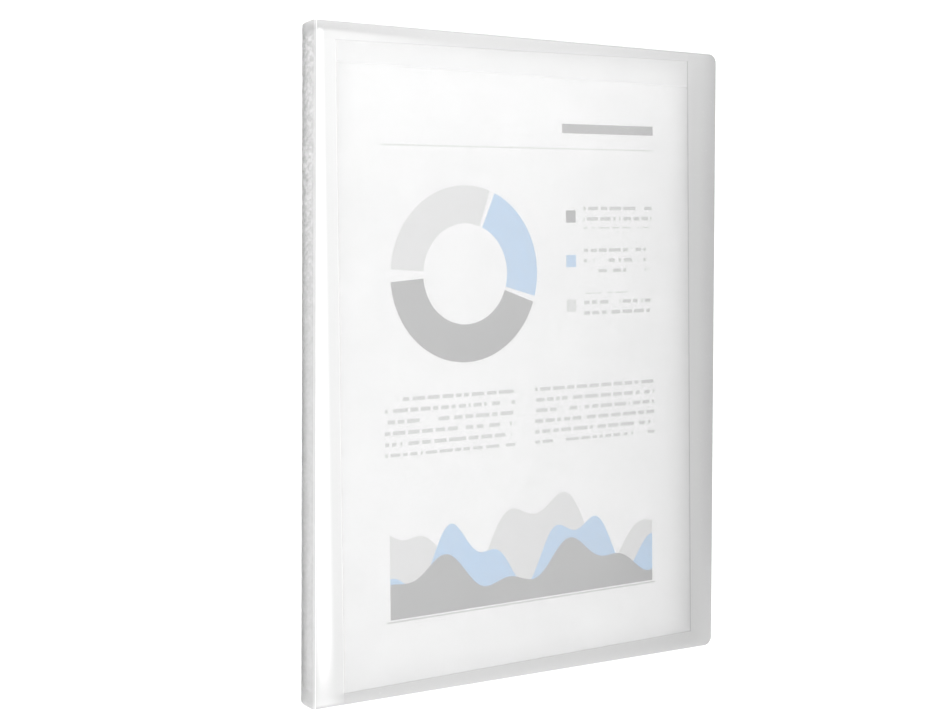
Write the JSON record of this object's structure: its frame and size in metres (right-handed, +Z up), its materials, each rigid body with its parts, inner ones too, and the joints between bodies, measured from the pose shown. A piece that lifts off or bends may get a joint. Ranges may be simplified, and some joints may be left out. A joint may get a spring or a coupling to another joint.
{
  "type": "display book",
  "caption": "Thin A4 display book: frosted clear cover folded round a bowed spine, with clear top-loading film pockets welded inside and a printed sheet in the first.",
  "frame": {"origin": "under the middle of the closed book, on the surface that its back cover lies on", "axes": "+X from the spine to the fore edge, +Y from the foot of the pages to their open head, +Z up through the thickness, from the back cover to the front cover"},
  "size_m": [0.24, 0.31, 0.012],
  "materials": {
    "frosted_cover": "frosted translucent polypropylene, finely grained",
    "crease": "scored and folded polypropylene, slightly whitened",
    "weld": "melted polypropylene, mottled",
    "film": "clear glossy polypropylene film",
    "sheet": null
  },
  "bodies": {
    "spine": {"spine": "frosted_cover", "binding_weld": "weld", "front_crease": "crease", "back_crease": "crease"},
    "front_cover": {"front_cover": "frosted_cover"},
    "back_cover": {"back_cover": "frosted_cover"},
    "pocket_01": {"pocket_01": "film"},
    "pocket_02": {"pocket_02": "film"},
    "pocket_03": {"pocket_03": "film"},
    "pocket_04": {"pocket_04": "film"},
    "pocket_05": {"pocket_05": "film"},
    "pocket_06": {"pocket_06": "film"},
    "pocket_07": {"pocket_07": "film"},
    "pocket_08": {"pocket_08": "film"},
    "pocket_09": {"pocket_09": "film"},
    "pocket_10": {"pocket_10": "film"},
    "pocket_11": {"pocket_11": "film"},
    "pocket_12": {"pocket_12": "film"},
    "pocket_13": {"pocket_13": "film"},
    "pocket_14": {"pocket_14": "film"},
    "pocket_15": {"pocket_15": "film"},
    "pocket_16": {"pocket_16": "film"},
    "pocket_17": {"pocket_17": "film"},
    "pocket_18": {"pocket_18": "film"},
    "pocket_19": {"pocket_19": "film"},
    "pocket_20": {"pocket_20": "film"},
    "title_sheet": {"title_sheet": "sheet"}
  },
  "joints": [
    {"name": "front_cover_hinge", "type": "hinge", "parent": "spine", "child": "front_cover", "pos_m": [-0.11882, 0, 0.01176], "axis": [0, -1, 0], "range_deg": [0, 180], "deforming": ["front_crease"]},
    {"name": "back_cover_hinge", "type": "hinge", "parent": "spine", "child": "back_cover", "pos_m": [-0.11874, 0, 0.00037], "axis": [0, 1, 0], "range_deg": [0, 180], "deforming": ["back_crease"]},
    {"name": "pocket_01_turn", "type": "hinge", "parent": "spine", "child": "pocket_01", "pos_m": [-0.1174, 0, 0.01093], "axis": [0, -1, 0], "range_deg": [0, 80.01]},
    {"name": "pocket_02_turn", "type": "hinge", "parent": "spine", "child": "pocket_02", "pos_m": [-0.1174, 0, 0.01039], "axis": [0, -1, 0], "range_deg": [0, 76.01]},
    {"name": "pocket_03_turn", "type": "hinge", "parent": "spine", "child": "pocket_03", "pos_m": [-0.1174, 0, 0.00987], "axis": [0, -1, 0], "range_deg": [0, 72.01]},
    {"name": "pocket_04_turn", "type": "hinge", "parent": "spine", "child": "pocket_04", "pos_m": [-0.1174, 0, 0.00933], "axis": [0, -1, 0], "range_deg": [0, 68.01]},
    {"name": "pocket_05_turn", "type": "hinge", "parent": "spine", "child": "pocket_05", "pos_m": [-0.1174, 0, 0.00881], "axis": [0, -1, 0], "range_deg": [0, 64.01]},
    {"name": "pocket_06_turn", "type": "hinge", "parent": "spine", "child": "pocket_06", "pos_m": [-0.1174, 0, 0.00827], "axis": [0, -1, 0], "range_deg": [0, 60.01]},
    {"name": "pocket_07_turn", "type": "hinge", "parent": "spine", "child": "pocket_07", "pos_m": [-0.1174, 0, 0.00775], "axis": [0, -1, 0], "range_deg": [0, 56.01]},
    {"name": "pocket_08_turn", "type": "hinge", "parent": "spine", "child": "pocket_08", "pos_m": [-0.1174, 0, 0.00722], "axis": [0, -1, 0], "range_deg": [0, 52.01]},
    {"name": "pocket_09_turn", "type": "hinge", "parent": "spine", "child": "pocket_09", "pos_m": [-0.1174, 0, 0.00668], "axis": [0, -1, 0], "range_deg": [0, 48.01]},
    {"name": "pocket_10_turn", "type": "hinge", "parent": "spine", "child": "pocket_10", "pos_m": [-0.1174, 0, 0.00615], "axis": [0, -1, 0], "range_deg": [0, 44.01]},
    {"name": "pocket_11_turn", "type": "hinge", "parent": "spine", "child": "pocket_11", "pos_m": [-0.1174, 0, 0.00562], "axis": [0, -1, 0], "range_deg": [0, 40.01]},
    {"name": "pocket_12_turn", "type": "hinge", "parent": "spine", "child": "pocket_12", "pos_m": [-0.1174, 0, 0.00509], "axis": [0, -1, 0], "range_deg": [0, 36.01]},
    {"name": "pocket_13_turn", "type": "hinge", "parent": "spine", "child": "pocket_13", "pos_m": [-0.1174, 0, 0.00456], "axis": [0, -1, 0], "range_deg": [0, 32.01]},
    {"name": "pocket_14_turn", "type": "hinge", "parent": "spine", "child": "pocket_14", "pos_m": [-0.1174, 0, 0.00404], "axis": [0, -1, 0], "range_deg": [0, 28.01]},
    {"name": "pocket_15_turn", "type": "hinge", "parent": "spine", "child": "pocket_15", "pos_m": [-0.1174, 0, 0.0035], "axis": [0, -1, 0], "range_deg": [0, 24.01]},
    {"name": "pocket_16_turn", "type": "hinge", "parent": "spine", "child": "pocket_16", "pos_m": [-0.1174, 0, 0.00298], "axis": [0, -1, 0], "range_deg": [0, 20.01]},
    {"name": "pocket_17_turn", "type": "hinge", "parent": "spine", "child": "pocket_17", "pos_m": [-0.1174, 0, 0.00245], "axis": [0, -1, 0], "range_deg": [0, 16.01]},
    {"name": "pocket_18_turn", "type": "hinge", "parent": "spine", "child": "pocket_18", "pos_m": [-0.1174, 0, 0.00192], "axis": [0, -1, 0], "range_deg": [0, 12.01]},
    {"name": "pocket_19_turn", "type": "hinge", "parent": "spine", "child": "pocket_19", "pos_m": [-0.1174, 0, 0.00138], "axis": [0, -1, 0], "range_deg": [0, 8.01]},
    {"name": "pocket_20_turn", "type": "hinge", "parent": "spine", "child": "pocket_20", "pos_m": [-0.1174, 0, 0.00085], "axis": [0, -1, 0], "range_deg": [0, 4.01]},
    {"name": "title_sheet_slide", "type": "slide", "parent": "pocket_01", "child": "title_sheet", "axis": [0, 1, 0], "range_m": [0, 0.3]}
  ],
  "couplings": [
    {"joint": "pocket_01_turn", "follows": "front_cover_hinge", "ratio": 0.44444},
    {"joint": "pocket_02_turn", "follows": "front_cover_hinge", "ratio": 0.42222},
    {"joint": "pocket_03_turn", "follows": "front_cover_hinge", "ratio": 0.4},
    {"joint": "pocket_04_turn", "follows": "front_cover_hinge", "ratio": 0.37778},
    {"joint": "pocket_05_turn", "follows": "front_cover_hinge", "ratio": 0.35556},
    {"joint": "pocket_06_turn", "follows": "front_cover_hinge", "ratio": 0.33333},
    {"joint": "pocket_07_turn", "follows": "front_cover_hinge", "ratio": 0.31111},
    {"joint": "pocket_08_turn", "follows": "front_cover_hinge", "ratio": 0.28889},
    {"joint": "pocket_09_turn", "follows": "front_cover_hinge", "ratio": 0.26667},
    {"joint": "pocket_10_turn", "follows": "front_cover_hinge", "ratio": 0.24444},
    {"joint": "pocket_11_turn", "follows": "front_cover_hinge", "ratio": 0.22222},
    {"joint": "pocket_12_turn", "follows": "front_cover_hinge", "ratio": 0.2},
    {"joint": "pocket_13_turn", "follows": "front_cover_hinge", "ratio": 0.17778},
    {"joint": "pocket_14_turn", "follows": "front_cover_hinge", "ratio": 0.15556},
    {"joint": "pocket_15_turn", "follows": "front_cover_hinge", "ratio": 0.13333},
    {"joint": "pocket_16_turn", "follows": "front_cover_hinge", "ratio": 0.11111},
    {"joint": "pocket_17_turn", "follows": "front_cover_hinge", "ratio": 0.088889},
    {"joint": "pocket_18_turn", "follows": "front_cover_hinge", "ratio": 0.066667},
    {"joint": "pocket_19_turn", "follows": "front_cover_hinge", "ratio": 0.044444},
    {"joint": "pocket_20_turn", "follows": "front_cover_hinge", "ratio": 0.022222}
  ]
}
